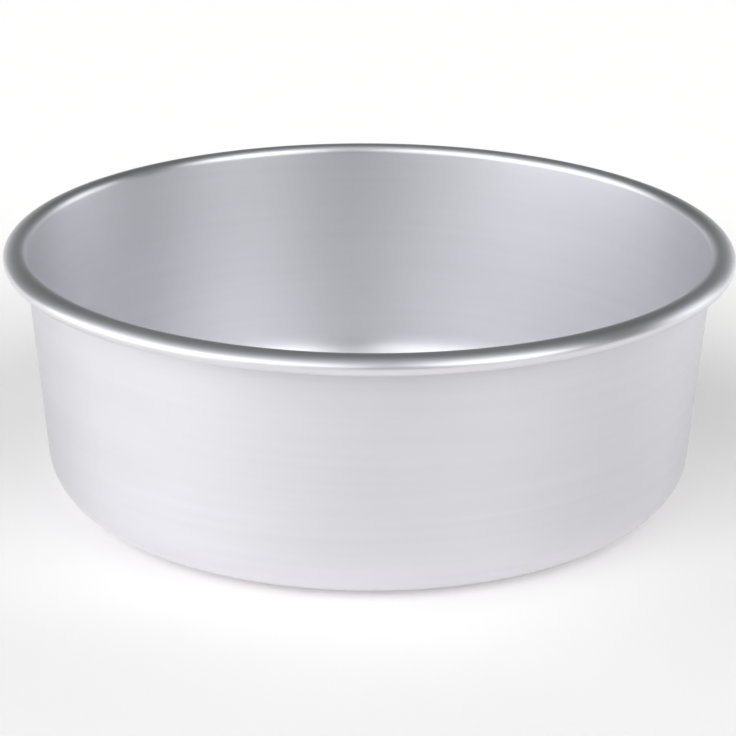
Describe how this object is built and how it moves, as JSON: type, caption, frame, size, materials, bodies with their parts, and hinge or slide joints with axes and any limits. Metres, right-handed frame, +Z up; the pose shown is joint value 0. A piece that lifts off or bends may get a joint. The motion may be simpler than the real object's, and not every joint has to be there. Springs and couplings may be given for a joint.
{
  "type": "round cake tin",
  "caption": "Round seamless aluminium cake tin with a tapered wall, rounded base corner and outward rolled rim closed over a hidden wire; an open-topped mould for baking deep cakes.",
  "frame": {"origin": "centre of the flat underside, on the surface that the tin stands on", "axes": "+Z up along the tin's axis, out of its open mouth; +X and +Y are any two directions across it, because the tin is a body of revolution"},
  "size_m": [0.218, 0.218, 0.0772],
  "materials": {
    "anodised_aluminium": "satin natural anodised, fine turning lines round the axis",
    "galvanised_wire": "drawn, zinc coated"
  },
  "bodies": {
    "root": {"tin_body": "anodised_aluminium", "rim_wire": "galvanised_wire"}
  },
  "joints": []
}
